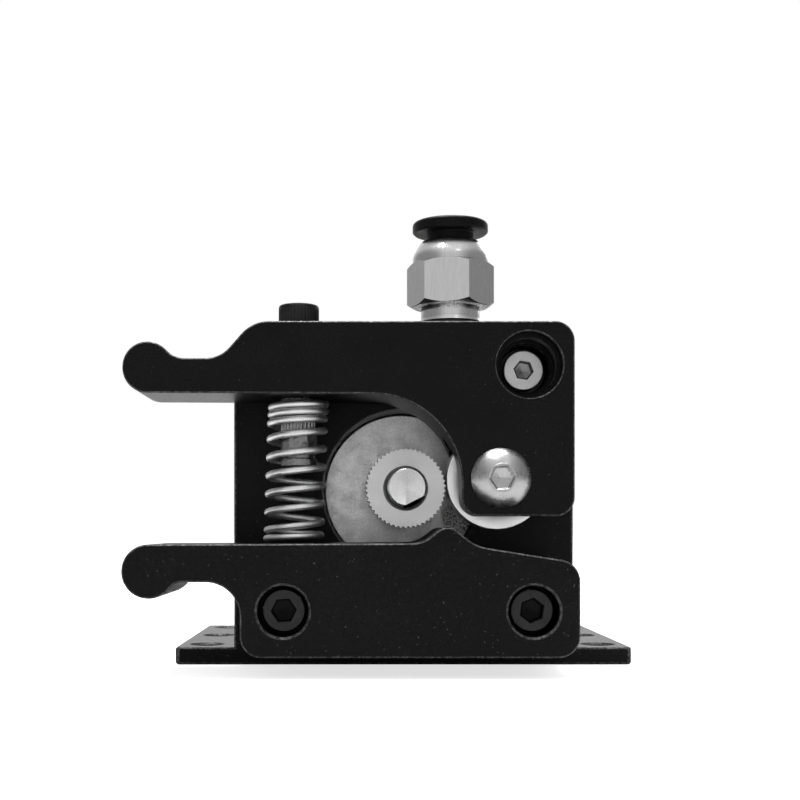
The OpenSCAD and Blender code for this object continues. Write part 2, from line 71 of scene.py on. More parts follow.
# Corners (x, h, radius) of the two levers
ARM = [
    (21.2, -3.7, 2.4), (21.2, 21, 2.5), (-19.6, 21, 4.8), (-23.7, 16.3, 4.1),
    (-29.57, 16.3, 3.2), (-31.49, 18.4, 3.14), (-36.05, 18.4, 3.14), (-36.05, 11.93, 3.14),
    (6.9, 11.72, 11.35), (6.9, -3.7, 2.3),
]
BLOCK = [
    (21.2, -21.25, 2.7), (21.2, -9.5, 2.7), (8.34, -7.46, 5.5), (4.87, -4.61, 1.9),
    (1.72, -7.1, 3.8), (-35.45, -7.25, 3.34), (-35.45, -13.95, 3.34), (-30.47, -13.95, 3.3),
    (-28.87, -11.9, 1.95), (-20.8, -11.9, 4.3), (-20.8, -21.25, 2.6),
]


# ---------- where things go ----------

def up(x, y, h):
    """Local Z points up."""
    return Matrix.Translation((x, y, AXIS_H + h))


def front(x=0, h=0, y=0):
    """Local Z points at the viewer, local Y up."""
    return Matrix.Translation((x, y, AXIS_H + h)) @ Matrix.Rotation(math.pi / 2, 4, "X")


def back(x=0, h=0, y=0):
    """Local Z points away from the viewer."""
    return Matrix.Translation((x, y, AXIS_H + h)) @ Matrix.Rotation(-math.pi / 2, 4, "X")


# ---------- outlines ----------

def rounded(corners, closed=True, step=5):
    """The line through corners (a, b, radius), with each corner rounded."""
    line, n = [], len(corners)
    for i, (a, b, radius) in enumerate(corners):
        if radius == 0 or (not closed and i in (0, n - 1)):
            line.append((a, b))
            continue
        here = Vector((a, b))
        before = (Vector(corners[i - 1][:2]) - here).normalized()
        after = (Vector(corners[(i + 1) % n][:2]) - here).normalized()
        half = math.acos(max(-1, min(1, before.dot(after)))) / 2
        centre = here + (before + after).normalized() * radius / math.sin(half)
        first = here + before * radius / math.tan(half) - centre
        last = here + after * radius / math.tan(half) - centre
        sweep = math.copysign(math.pi - 2 * half, first.x * last.y - first.y * last.x)
        steps = max(2, math.ceil(math.degrees(abs(sweep)) / step))
        for k in range(steps + 1):
            c, s = math.cos(sweep * k / steps), math.sin(sweep * k / steps)
            line.append((
                centre.x + first.x * c - first.y * s, centre.y + first.x * s + first.y * c
            ))
    return line


def rectangle(x_low, y_low, x_high, y_high, radius=0):
    return rounded([
        (x_low, y_low, radius), (x_high, y_low, radius),
        (x_high, y_high, radius), (x_low, y_high, radius),
    ])


def inset(outline, depth):
    """The anticlockwise outline moved inwards by depth."""
    if depth == 0:
        return list(outline)
    moved, n = [], len(outline)
    for i, (x, y) in enumerate(outline):
        normals = []
        for a, b in ((outline[i - 1], (x, y)), ((x, y), outline[(i + 1) % n])):
            along = Vector(b) - Vector(a)
            normals.append(Vector((-along.y, along.x)).normalized())
        both = normals[0] + normals[1]
        both = both * depth / max(0.3, 1 + normals[0].dot(normals[1]))
        moved.append((x + both.x, y + both.y))
    return moved


def soft(low, high, edge):
    """Levels (t, inset) of a solid whose two ends have a slightly softened chamfer."""
    cut = [(0, 1), (0.08, 0.72), (0.72, 0.08), (1, 0)]
    ends = [(low + a * edge, b * edge) for a, b in cut]
    return ends + [(low + high - t, b) for t, b in reversed(ends)]


def circle(radius, sides=96):
    return [
        (radius * math.cos(2 * math.pi * k / sides), radius * math.sin(2 * math.pi * k / sides))
        for k in range(sides)
    ]


def hexagon(across, turn=0):
    """A hexagon of that width across its flats; a corner points along turn, in degrees."""
    r = across / 2 / math.cos(math.pi / 6)
    return [
        (r * math.cos(math.radians(turn + 60 * k)), r * math.sin(math.radians(turn + 60 * k)))
        for k in range(6)
    ]


# ---------- solids ----------

def loft(name, rings, matrix, loop=False):
    """A solid skinned over rings of equally many points; a ring of one point is a tip."""
    shape = bmesh.new()
    rows = [[shape.verts.new(matrix @ Vector(p)) for p in ring] for ring in rings]
    pairs = list(zip(rows, rows[1:])) + ([(rows[-1], rows[0])] if loop else [])
    for low, high in pairs:
        n = max(len(low), len(high))
        for k in range(n):
            m = (k + 1) % n
            corners = [
                low[k % len(low)], low[m % len(low)], high[m % len(high)], high[k % len(high)]
            ]
            shape.faces.new(list(dict.fromkeys(corners)))
    if not loop:
        for row in (rows[0], rows[-1]):
            if len(row) > 1:
                shape.faces.new(row)
    bmesh.ops.recalc_face_normals(shape, faces=shape.faces)
    mesh = bpy.data.meshes.new(name)
    shape.to_mesh(mesh)
    shape.free()
    obj = bpy.data.objects.new(name, mesh)
    bpy.context.scene.collection.objects.link(obj)
    return obj


def prism(name, outline, levels, matrix):
    """An outline made solid through levels (t, inset)."""
    return loft(name, [[(x, y, t) for x, y in inset(outline, d)] for t, d in levels], matrix)


def slab(name, outline, y_front, y_back, edge):
    """An outline in X and height, made solid between two Y with chamfered ends."""
    return prism(name, outline, soft(-y_back, -y_front, edge), front())


def turned(name, profile, matrix, sides=96, loop=False):
    """Points (r, t) turned round local Z. An r may also be a list with one radius per side."""
    rings = []
    for r, t in profile:
        if r == 0:
            rings.append([(0, 0, t)])
            continue
        radii = r if isinstance(r, list) else [r] * sides
        rings.append([
            (x * radii[k], y * radii[k], t) for k, (x, y) in enumerate(circle(1, sides))
        ])
    return loft(name, rings, matrix, loop)


def ring(name, r_out, r_in, low, high, matrix, edge=0.15, sides=96):
    """A ring with softened edges."""
    profile = rounded(
        [(r_out, low, edge), (r_out, high, edge), (r_in, high, edge), (r_in, low, edge)], step=22
    )
    return turned(name, profile, matrix, sides, loop=True)


def drill(matrix, near, far, r, lip=0.25, sides=72):
    """A cutter for a round hole between two faces, with chamfered lips."""
    return turned("drill", [
        (0, near - 1), (r + lip + 1, near - 1), (r, near + lip),
        (r, far - lip), (r + lip + 1, far + 1), (0, far + 1),
    ], matrix, sides)


def counterbore(matrix, top, steps, far=None, lip=0.2, sides=96):
    """A cutter for a stepped hole from the face at top; steps are (r, floor) going down."""
    profile = [(0, top + 1)]
    level = top
    for r, floor in steps:
        reach = 1 if level == top else 0
        profile += [(r + lip + reach, level + reach), (r, level - lip), (r, floor)]
        level = floor
    if far is not None:
        r = steps[-1][0]
        profile[-1] = (r, far + lip)
        profile += [(r + lip + 1, far - 1), (0, far - 1)]
    else:
        profile.append((0, level))
    return turned("counterbore", profile, matrix, sides)


def hex_cutter(matrix, across, top, depth, turn=0, lip=0.18):
    """A cutter for a hexagon socket, with a coned floor and a chamfered mouth."""
    flat = across / 2
    SOCKETS.append((matrix.inverted(), flat / math.cos(math.pi / 6) + 0.02, top - lip))
    levels = [
        (top + 1, -lip - 1), (top - lip, 0), (top - depth, 0), (top - depth - 0.25, flat * 0.86)
    ]
    return prism("socket", hexagon(across, turn), levels, matrix)


def carve(obj, *tools, operation="DIFFERENCE"):
    """Cuts the tools from obj, or joins them to it, and removes them."""
    for tool in tools:
        modifier = obj.modifiers.new("carve", "BOOLEAN")
        modifier.operation, modifier.object, modifier.solver = operation, tool, "EXACT"
    graph = bpy.context.evaluated_depsgraph_get()
    mesh = bpy.data.meshes.new_from_object(obj.evaluated_get(graph))
    obj.modifiers.clear()
    obj.data = mesh
    for tool in tools:
        bpy.data.objects.remove(tool)
    return obj


def join(first, *others):
    """One mesh out of several."""
    shape = bmesh.new()
    for obj in (first, *others):
        shape.from_mesh(obj.data)
    shape.to_mesh(first.data)
    shape.free()
    for obj in others:
        bpy.data.objects.remove(obj)
    return first


def in_socket(point):
    """Whether a point lies below the mouth of a hexagon socket."""
    for inverse, radius, mouth in SOCKETS:
        x, y, t = inverse @ point
        if math.hypot(x, y) < radius and 0 < t < mouth:
            return True
    return False


def place(obj, body, slot, material, *replaced,
          faces=(), angle=30, weighted=True, milled=1.0, bore=0):
    """Finishes a piece: metres, shading, material and body. slot is not used. faces are the flat ends
    (axis, value) whose chamfers wear, milled says how smooth the sides are, and the sides
    within the radius bore of the motor's axis are not smooth."""
    shape = bmesh.new()
    shape.from_mesh(obj.data)
    bmesh.ops.remove_doubles(shape, verts=shape.verts, dist=0.0005)
    bmesh.ops.dissolve_degenerate(shape, edges=shape.edges, dist=0.0005)
    worn, side, deep = (shape.faces.layers.float.new(word) for word in ("edge", "milled", "deep"))
    has_socket = material in (OXIDE, ZINC)
    for face in shape.faces:
        middle = face.calc_center_median()
        face[worn] = float(any(
            abs(middle[axis] - value) < EDGE * 1.05 and 0.15 < abs(face.normal[axis]) < 0.97
            for axis, value in faces
        ))
        clear = math.hypot(middle.x, middle.z - AXIS_H) > bore
        face[side] = milled * (clear and abs(face.normal.y) < 0.15)
        # Faces inside a hexagon socket, which the screw finishes paint in near-black shade
        face[deep] = float(has_socket and in_socket(middle))
    shape.to_mesh(obj.data)
    shape.free()
    obj.data.transform(Matrix.Scale(MM, 4))
    obj.data.shade_smooth()
    obj.data.set_sharp_from_angle(angle=math.radians(angle))
    if weighted:
        modifier = obj.modifiers.new("normals", "WEIGHTED_NORMAL")
        modifier.keep_sharp = True
    obj.data.materials.clear()
    obj.data.materials.append(material)
    if body:
        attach(obj, body)
    if replaced:
        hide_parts(*replaced)


def group(name, parts, *replaced, body, slot, material):
    """Several like parts placed as one piece."""
    obj = join(*parts)
    obj.name = name
    place(obj, body, slot, material, *replaced)


# ---------- materials ----------

class Finish:
    """A node material in object coordinates, in millimetres."""

    def __init__(self, name):
        self.material = bpy.data.materials.new(name)
        self.material.use_nodes = True
        self.tree = self.material.node_tree
        self.tree.nodes.clear()
        where = self.add("ShaderNodeTexCoord").outputs["Object"]
        self.mm = self.vector("SCALE", where, scale=1 / MM)

    def add(self, kind, inputs=None, **settings):
        made = self.tree.nodes.new(kind)
        for key, value in settings.items():
            setattr(made, key, value)
        for key, value in (inputs or {}).items():
            if isinstance(value, bpy.types.NodeSocket):
                self.tree.links.new(value, made.inputs[key])
            else:
                made.inputs[key].default_value = value
        return made

    def vector(self, operation, a, b=None, scale=None):
        inputs = {0: a}
        if b is not None:
            inputs[1] = b
        if scale is not None:
            inputs["Scale"] = scale
        made = self.add("ShaderNodeVectorMath", inputs, operation=operation)
        return made.outputs["Value" if operation in ("LENGTH", "DOT_PRODUCT") else "Vector"]

    def math(self, operation, a, b):
        return self.add("ShaderNodeMath", {0: a, 1: b}, operation=operation).outputs[0]

    def noise(self, scale, detail=3, rough=0.55, stretch=None):
        where = self.vector("MULTIPLY", self.mm, stretch) if stretch else self.mm
        made = self.add("ShaderNodeTexNoise", {
            "Vector": where, "Scale": scale, "Detail": detail, "Roughness": rough,
        })
        return made.outputs["Fac"]

    def radius(self, x=0, h=0):
        """The distance from an axis along Y through (x, h)."""
        away = self.vector("SUBTRACT", self.mm, (x, 0, AXIS_H + h))
        return self.vector("LENGTH", self.vector("MULTIPLY", away, (1, 0, 1)))

    def range(self, value, low, high, a=0.0, b=1.0):
        made = self.add("ShaderNodeMapRange", {
            "Value": value, "From Min": low, "From Max": high, "To Min": a, "To Max": b,
        })
        return made.outputs["Result"]

    def mix(self, share, a, b):
        made = self.add("ShaderNodeMix", {0: share, 6: shade(a), 7: shade(b)}, data_type="RGBA")
        return made.outputs[2]

    def blend(self, share, a, b):
        return self.add("ShaderNodeMix", {0: share, 2: a, 3: b}).outputs[0]

    def specks(self, scale, rare):
        """1 inside small dots of dust, the fewer the higher rare is."""
        return self.range(self.noise(scale, 1, 0.4), rare, rare + 0.03)

    def face(self, word):
        """A value that place() writes on each face."""
        return self.add("ShaderNodeAttribute", attribute_name=word).outputs["Fac"]

    def rings(self, centre, scale):
        """Turning marks round an axis along Y through centre (x, h)."""
        made = self.add("ShaderNodeTexNoise", {
            "W": self.radius(*centre), "Scale": scale, "Detail": 3, "Roughness": 0.6,
        }, noise_dimensions="1D")
        return made.outputs["Fac"]

    def bump(self, height, depth):
        inputs = {"Height": height, "Distance": depth * MM, "Strength": 1.0}
        return self.add("ShaderNodeBump", inputs).outputs["Normal"]

    def surface(self, colour, metallic, roughness, normal, tangent=False, **constants):
        inputs = {
            "Base Color": colour, "Metallic": metallic, "Roughness": roughness, "Normal": normal,
        }
        if tangent:
            inputs["Tangent"] = self.add(
                "ShaderNodeTangent", direction_type="RADIAL", axis="Y").outputs[0]
        inputs.update(constants)
        made = self.add("ShaderNodeBsdfPrincipled", inputs)
        out = self.add("ShaderNodeOutputMaterial")
        self.tree.links.new(made.outputs[0], out.inputs["Surface"])
        return self.material


def shade(value):
    """A grey or a colour as four numbers; sockets pass."""
    if isinstance(value, (int, float)):
        return (value, value, value, 1.0)
    return (*value, 1.0) if isinstance(value, tuple) and len(value) == 3 else value


def anodised(name, low, high):
    """Black anodised aluminium: blasted faces, smoother milled sides, thin wear on the chamfers."""
    f = Finish(name)
    fine = f.noise(3.6, 4, 0.75)
    cloud = f.noise(0.16, 3)
    colour = f.mix(f.range(fine, 0.38, 0.66), low, high)
    colour = f.mix(f.range(cloud, 0.35, 0.7, 0.0, 0.5), colour, low)
    colour = f.mix(f.specks(3.6, 0.765), colour, 0.07)
    side = f.face("milled")
    wear = f.range(f.noise(2.6, 5, 0.75), 0.42, 0.62, 0.03, 0.4)
    worn = f.math("MULTIPLY", f.face("edge"), wear)
    colour = f.mix(worn, colour, 0.22)
    rough_face = f.range(fine, 0.3, 0.7, 0.34, 0.52)
    marks = f.noise(6, 3, 0.6, stretch=(0.3, 3, 0.3))
    rough_side = f.range(marks, 0.3, 0.7, 0.13, 0.27)
    roughness = f.blend(side, rough_face, rough_side)
    roughness = f.blend(worn, roughness, 0.3)
    height = f.blend(side, fine, f.math("MULTIPLY", marks, 0.4))
    return f.surface(
        colour, f.math("MULTIPLY", worn, 0.8), roughness, f.bump(height, 0.006),
        **{"Specular IOR Level": 0.1}
    )


def metal(name, tone, roughness, grain=9.0, depth=0.003, contrast=0.12, metallic=1.0,
          centre=None, anisotropic=0.0, brushed=None, scratches=0.3, pitted=None, socket_shade=0.9):
    """A metal with grain or brushing, cloudy gloss and a few scratches. centre (x, h) is the
    axis of turning marks, pitted is the place (x, h) of a coarse patch on the motor's pilot
    boss, and with it the metal round the boss is painted near black as shade, and the last
    argument says how dark the shade painted inside hexagon sockets is."""
    f = Finish(name)
    fine = f.noise(grain, 4, 0.65, stretch=brushed)
    cloud = f.noise(0.5, 3)
    low, high = tone * (1 - contrast), tone * (1 + contrast)
    colour = f.mix(f.range(fine, 0.3, 0.7), low, min(1, high))
    colour = f.mix(f.range(cloud, 0.3, 0.7, 0.0, 0.4), colour, low)
    height = fine
    if centre is not None:
        marks = f.rings(centre, 9)
        colour = f.mix(f.range(marks, 0.35, 0.65, 0.0, 0.5), colour, min(1, high))
        height = f.math("ADD", height, marks)
    if pitted is not None:
        # Painted shade: the cover face round the boss, in the gap behind the wall, goes near black
        colour = f.mix(f.range(f.radius(), 11.15, 11.3, 0.0, 0.66), colour, 0.01)
        patch = f.range(f.radius(*pitted), 2.6, 1.8)
        pits = f.math("MULTIPLY", patch, f.range(f.noise(3.4, 2, 0.6), 0.5, 0.6))
        colour = f.mix(pits, colour, tone * 0.25)
        height = f.math("SUBTRACT", height, f.math("MULTIPLY", pits, 2.0))
    # Painted shade: faces inside hexagon sockets go near black
    colour = f.mix(f.math("MULTIPLY", f.face("deep"), socket_shade), colour, 0.004)
    lines = f.noise(3, 2, 0.5, stretch=(0.25, 2.5, 2.5))
    lines = f.range(lines, 0.64, 0.68)
    height = f.math("SUBTRACT", height, f.math("MULTIPLY", lines, scratches))
    gloss = f.range(cloud, 0.3, 0.7, roughness * 0.85, min(1, roughness * 1.2))
    gloss = f.math("ADD", gloss, f.range(fine, 0.3, 0.7, -0.04, 0.04))
    return f.surface(
        colour, metallic, gloss, f.bump(height, depth), tangent=anisotropic > 0,
        **({"Anisotropic": anisotropic} if anisotropic else {}),
    )


def plastic(name, tone, roughness, depth=0.004, specular=0.5):
    """A moulded plastic or rubber: faint grain, cloudy gloss, a little dust."""
    f = Finish(name)
    fine = f.noise(6.0, 4, 0.6)
    cloud = f.noise(0.4, 2)
    tone = shade(tone)[:3]
    low, high = (tuple(v * (1 + k * 0.15) for v in tone) for k in (-1, 1))
    dusty = tuple(min(1, v * 1.6 + 0.04) for v in tone)
    colour = f.mix(f.range(fine, 0.3, 0.7), low, high)
    colour = f.mix(f.math("MULTIPLY", f.specks(3.4, 0.73), 0.4), colour, dusty)
    gloss = f.range(cloud, 0.3, 0.7, roughness * 0.85, roughness * 1.15)
    return f.surface(
        colour, 0.0, gloss, f.bump(fine, depth), **{"Specular IOR Level": specular}
    )


def laminated():
    """The edge of a stack of punched steel sheets, lacquered dark."""
    f = Finish("motor_stator_finish")
    rust = f.noise(1.2, 5, 0.7)
    sheet = f.noise(1, 2, 0.5, stretch=(0.15, 9, 0.15))
    colour = f.mix(f.range(sheet, 0.35, 0.65), 0.045, 0.10)
    colour = f.mix(f.range(rust, 0.55, 0.75, 0.0, 0.5), colour, 0.16)
    return f.surface(colour, 0.6, f.range(rust, 0.3, 0.7, 0.35, 0.55), f.bump(sheet, 0.02))


BLACK = anodised("black_anodised_finish", 0.0006, 0.006)
OXIDE = metal("black_oxide_finish", 0.03, 0.34, grain=8, contrast=0.25, scratches=0.5)
ZINC = metal("zinc_screw_finish", 0.5, 0.34, grain=6, depth=0.006, socket_shade=0.6)
CHROME = metal("chrome_screw_finish", 0.42, 0.3, grain=1.6, depth=0.012, contrast=0.1)
GEAR = metal("gear_steel_finish", 0.5, 0.34, grain=10, centre=(0, 0), anisotropic=0.6)
SHAFT = metal("shaft_steel_finish", 0.58, 0.26, grain=10, centre=(0, 0), anisotropic=0.8)
BEARING = metal("bearing_steel_finish", 0.72, 0.34, grain=10, centre=IDLER, anisotropic=0.4)
# The front cover is the same aluminium as the rear one but far paler: painted light that makes up for
# the shade of the recess its boss sits in
COVER = metal("motor_cover_lightened_finish", 0.9, 0.4, grain=5, depth=0.025, contrast=0.3, metallic=0.9,
              pitted=(8, -3.8))
STATOR = laminated()
COPPER = metal("copper_coil_finish", 0.45, 0.35, grain=4, brushed=(1, 0.1, 1))
MAGNET = metal("magnet_finish", 0.2, 0.5)
REAR = metal("motor_rear_finish", 0.3, 0.42, grain=3.6, depth=0.02, contrast=0.3)
CONNECTOR = plastic("connector_plastic_finish", (0.42, 0.41, 0.38), 0.45)
SPRING = metal("spring_steel_finish", 0.66, 0.4, grain=3, depth=0.006, contrast=0.1)
SLEEVE = metal("sleeve_steel_finish", 0.24, 0.28, grain=3, depth=0.006, contrast=0.15)
NICKEL = metal("fitting_nickel_finish", 0.58, 0.22, grain=4, depth=0.003, contrast=0.08,
               brushed=(1.6, 1.6, 0.12))
COLLET = plastic("fitting_plastic_finish", 0.002, 0.4, specular=0.1)
RUBBER = plastic("seal_rubber_finish", 0.006, 0.6, depth=0.01)
BRASS = metal("bush_brass_finish", 0.5, 0.3)


# ---------- bracket and drive block ----------

def base_plate():
    half_x, half_y, wall_x, wall_top = 31.3, 19.5, 23.2, 20.7
    plate = prism("bracket_body", rounded([
        (half_x, -half_y, 0.9), (half_x, half_y, 0.9), (-half_x, half_y, 0.9), (-half_x, -half_y, 0.9),
    ]), soft(0, BASE, 0.3), up(0, 0, -AXIS_H))
    outline = rounded([
        (wall_x, -22.7, 0), (wall_x, wall_top, 3.5), (-wall_x, wall_top, 3.5), (-wall_x, -22.7, 0),
    ])
    carve(plate, slab("wall", outline, -WALL_FRONT, -WALL_BACK, 0.3), operation="UNION")
    cuts = [
        drill(up(x, y, -AXIS_H), 0, BASE, 2.2, 0.3)
        for x in (-27.4, 27.4) for y in (-14.9, 0, 14.9)
    ]
    cuts.append(drill(front(), WALL_BACK, WALL_FRONT, 11.1, 0.12, 144))
    cuts += [
        drill(front(x, h), WALL_BACK, WALL_FRONT, M3_HOLE)
        for x, h in ((SCREW, SCREW), (SCREW, -SCREW), (-SCREW, -SCREW))
    ]
    steps = [(3.1, 16.3), (M3_HOLE, WALL_BACK)]
    cuts.append(counterbore(front(-SCREW, SCREW), WALL_FRONT, steps, far=WALL_BACK))
    carve(plate, *cuts)
    place(
        plate, "bracket", "black_anodised", BLACK, "mount_bracket",
        faces=((1, -WALL_FRONT), (1, -WALL_BACK), (1, half_y), (2, 0), (2, BASE)), bore=12,
    )


def fixed_block():
    block = slab("drive_block_body", rounded(BLOCK), -BLOCK_FRONT, -WALL_FRONT, EDGE)
    steps = [(3.2, 31.5), (M3_HOLE, WALL_FRONT)]
    carve(block, *[
        counterbore(front(x, -SCREW), BLOCK_FRONT, steps, far=WALL_FRONT, lip=0.3)
        for x in (-SCREW, SCREW)
    ])
    carve(block, turned("inlet", [
        (0, -22.5), (3.4, -22.5), (1.1, -20.2), (1.1, -3), (0, -3),
    ], up(*FILAMENT, 0), 48))
    place(
        block, "bracket", "black_anodised", BLACK, "drive_block",
        faces=((1, -BLOCK_FRONT), (1, -WALL_FRONT)), milled=0.2,
    )


def hinged_arm():
    arm = slab("idler_arm_body", rounded(ARM), -ARM_FRONT, -ARM_BACK, EDGE)
    steps = [(4.25, 30.7), (3.7, 27.9), (3.15, 23.95), (2.35, ARM_BACK)]
    carve(arm, counterbore(front(*PIVOT), ARM_FRONT, steps, far=ARM_BACK, lip=0.15))
    carve(arm, turned("slot", [
        (0, 21.9), (7.1, 21.9), (7.1, 27.5), (0, 27.5),
    ], front(*IDLER), 144))
    carve(arm, drill(front(*IDLER), ARM_BACK, ARM_FRONT, 2.02, 0.2))
    carve(arm, turned("filament", [
        (0, -2), (1.2, -2), (1.2, 15), (3.02, 15), (3.02, 20.7), (4.02, 21.7), (0, 21.7),
    ], up(*FILAMENT, 0), 48))
    carve(arm, turned("guide", [
        (0, 10.5), (2.0, 10.5), (2.0, 11.5), (1.56, 12), (1.56, 20.7), (2.56, 21.7), (0, 21.7),
    ], up(*GUIDE, 0), 48))
    place(
        arm, "arm", "black_anodised", BLACK, "idler_arm",
        faces=((1, -ARM_FRONT), (1, -ARM_BACK)), milled=0.2,
    )


base_plate()
fixed_block()
hinged_arm()


# ---------- screws ----------

THREAD_SIDES = 24
HEAD_SIDES = 240                # 40 teeth of 6 sides round a knurled head


def threads(r, low, high, pitch=0.5):
    """Profile of a threaded shank of THREAD_SIDES sides, low to high, with a pointed start."""
    rows, per_turn = [], 6
    count = int((high - low) / pitch * per_turn)
    depth = 0.6 * pitch
    for i in range(count + 1):
        t = low + (high - low) * i / count
        ramp = min(1.0, (t - low) / 0.8)
        radii = []
        for k in range(THREAD_SIDES):
            phase = (t / pitch - k / THREAD_SIDES) % 1
            radii.append(r - depth + depth * ramp * abs(2 * phase - 1))
        rows.append((radii, t))
    return rows


def cap_head(r, height):
    """Profile of a knurled cap head."""
    wave, edge = [0, 0, 0.5, 1, 1, 0.5], 0.28
    knurl = [r - 0.09 * wave[k % 6] for k in range(HEAD_SIDES)]
    return [
        (1.4, -0.4), (1.5, 0), (r - 0.25, 0.0), (r - 0.1, 0.12), (knurl, 0.3),
        (knurl, height - 0.75), (r, height - 0.55), (r, height - edge),
        (r - 0.1, height - 0.09), (r - edge, height),
    ]


def socket_screw(name, matrix, length, r, height, across, turn=0, marks=()):
    """An M3 cap screw, its seat at t = 0. marks are the angles of small radial notches."""
    head = turned(name, cap_head(r, height), matrix, HEAD_SIDES)
    carve(head, hex_cutter(matrix, across, height, height * 0.6, turn))
    for angle in marks:
        turned_to = matrix @ Matrix.Rotation(math.radians(angle), 4, "Z")
        mark = rectangle(r * 0.72, -0.13, r + 0.3, 0.13)
        carve(head, prism("notch", mark, [(height - 0.12, 0), (height + 0.3, 0)], turned_to))
    shank = turned("shank", threads(1.48, -length, -0.2), matrix, THREAD_SIDES)
    return join(head, shank)


group("block_cap_screws", [
    socket_screw("left", front(-SCREW, -SCREW, -31.5), 25, 2.75, 3, 2.5, 4, (38, 172)),
    socket_screw("right", front(SCREW, -SCREW, -31.5), 25, 2.75, 3, 2.5, 22, (100, 215)),
], "block_screws", body="bracket", slot="black_oxide", material=OXIDE)
group("wall_cap_screw", [
    socket_screw("wall", front(-SCREW, SCREW, -16.3), 10, 2.75, 3, 2.5, 11),
], "wall_screw", body="bracket", slot="black_oxide", material=OXIDE)
group("pivot_cap_screw", [
    socket_screw("pivot", front(*PIVOT, -24.5), 18, 2.7, 2, 2, -9),
], "pivot_screw", body="bracket", slot="zinc_screw", material=ZINC)
group("guide_cap_screw", [
    socket_screw("guide", up(*GUIDE, 21), 16, 2.65, 3, 2.5, 8),
], "guide_screw", body="arm", slot="black_oxide", material=OXIDE)
group("motor_screws", [
    socket_screw("case", back(x, h, 21.9), 25.4, 2.75, 2.4, 2, 17 * i)
    for i, (x, h) in enumerate(((-SCREW, -SCREW), (SCREW, -SCREW), (SCREW, SCREW), (-SCREW, SCREW)))
], "motor_case_screws", body="bracket", slot="zinc_screw", material=ZINC)


def button_head():
    """The idler's domed screw, with a low ring round its socket."""
    r, height = 3.8, 2.2
    thread_r, across = 1.98, 2.5
    sphere = (r * r + height * height) / (2 * height) + 0.35
    dome = []
    for k in range(20):
        radius = r - (r - 1.95) * k / 19
        dome.append((radius, height - sphere + math.sqrt(sphere * sphere - radius * radius)))
    skirt = dome[0][1]
    profile = [(2.0, -0.4), (2.0, 0), (r - 0.12, 0), (r, 0.12), (r, skirt - 0.05)] + dome
    top = dome[-1][1]
    profile += [(1.86, top + 0.02), (1.78, top + 0.09), (1.68, top + 0.1)]
    where = front(*IDLER, -ARM_FRONT)
    head = turned("idler_button_screw", profile, where, 144)
    carve(head, hex_cutter(where, across, top + 0.1, 1.35, 4, lip=0.22))
    join(head, turned("shank", threads(thread_r, -12, -0.2, 0.7), where, THREAD_SIDES))
    place(head, "arm", "chrome_screw", CHROME, "idler_screw")


button_head()


# ---------- motor ----------

def motor_outline(corner):
    """The motor's square with its corners cut off by that much."""
    r = 21.15
    c = r - corner
    corners = [(c, -r), (r, -c), (r, c), (c, r), (-c, r), (-r, c), (-r, -c), (-c, -r)]
    return rounded([(x, y, 0.4) for x, y in corners], step=15)


def motor():
    rear = 24.5
    cover = slab("motor_front_housing", motor_outline(2.6), -WALL_BACK, -0.5, 0.3)
    carve(cover, turned("boss", [
        (0, 8), (11, 8), (11, 11.3), (10.8, 11.5), (0, 11.5),
    ], front(), 144), operation="UNION")
    cuts = [drill(front(x, h), -0.5, WALL_BACK, 1.5) for x, h in SCREWS]
    cuts.append(turned("well", [
        (0, 13), (6.1, 13), (4.6, 11.3), (4.6, 8), (8, 8), (8, 2.8), (17.5, 2.8), (17.5, -1.5),
        (0, -1.5),
    ], front(), 144))
    carve(cover, *cuts)
    place(cover, "bracket", "motor_cover", COVER, "motor_front_cover")

    cover = slab("motor_rear_housing", motor_outline(2.6), 16.5, rear, 0.3)
    steps = [(2.95, 21.9), (M3_HOLE, 16.5)]
    cuts = [counterbore(back(x, h), rear, steps, far=16.5) for x, h in SCREWS]
    cuts.append(turned("well", [(0, 15), (8, 15), (8, 23.1), (0, 23.1)], back(), 96))
    cuts.append(turned("groove", [
        (10.5, 24.1), (11, 24.1), (11.6, 25), (9.9, 25),
    ], back(), 96, loop=True))
    slot = rectangle(-8.2, 17.15, 8.2, 23)
    cuts.append(prism("slot", slot, [(-22.5, 0), (-15, 0)], front()))
    carve(cover, *cuts)
    place(cover, "bracket", "motor_cover", REAR, "motor_rear_cover")

    levels, sheets = [(-16.5, 0.05)], 34
    pitch = 17 / sheets
    for i in range(sheets):
        low = -16.5 + i * pitch
        levels += [(low + 0.06, 0), (low + pitch - 0.06, 0), (low + pitch, 0.05)]
    stack = prism("motor_stator_stack", motor_outline(4.2), levels, front())
    carve(stack, turned("bore", [(0, -18), (17.5, -18), (17.5, 2), (0, 2)], front(), 96))
    carve(stack, *[
        turned("way", [(0, -18), (M3_HOLE, -18), (M3_HOLE, 2), (0, 2)], front(x, h), 32)
        for x, h in SCREWS
    ])
    place(stack, "bracket", "motor_stator", STATOR, "motor_stator", weighted=False)


def connector():
    """The plug socket on top of the motor's rear cover."""
    here = up(0, 0, 17.35)
    shell = rectangle(-8, 16.5, 8, 22.3, 0.4)
    housing = prism("motor_connector_shell", shell, soft(0, 7, 0.2), here)
    pocket = rectangle(-7, 17.5, 7, 21.3, 0.2)
    cuts = [prism("pocket", pocket, [(1.5, 0), (6.8, 0), (7.3, -0.5)], here)]
    cuts += [
        prism("key", rectangle(x - 0.7, 21, x + 0.7, 23), [(3.4, 0), (8, 0)], here)
        for x in (-4, 4)
    ]
    carve(housing, *cuts)
    place(housing, "bracket", "connector_plastic", CONNECTOR, "motor_connector")
    pins = [
        prism("pin", rectangle(x - 0.25, 19.15, x + 0.25, 19.65),
              [(1.3, 0), (5.4, 0), (5.8, 0.15)], here)
        for x in (-5, -3, -1, 1, 3, 5)
    ]
    group("motor_connector_pins", pins, body="bracket", slot="shaft_steel", material=SHAFT)


motor()
connector()


# ---------- rotor ----------

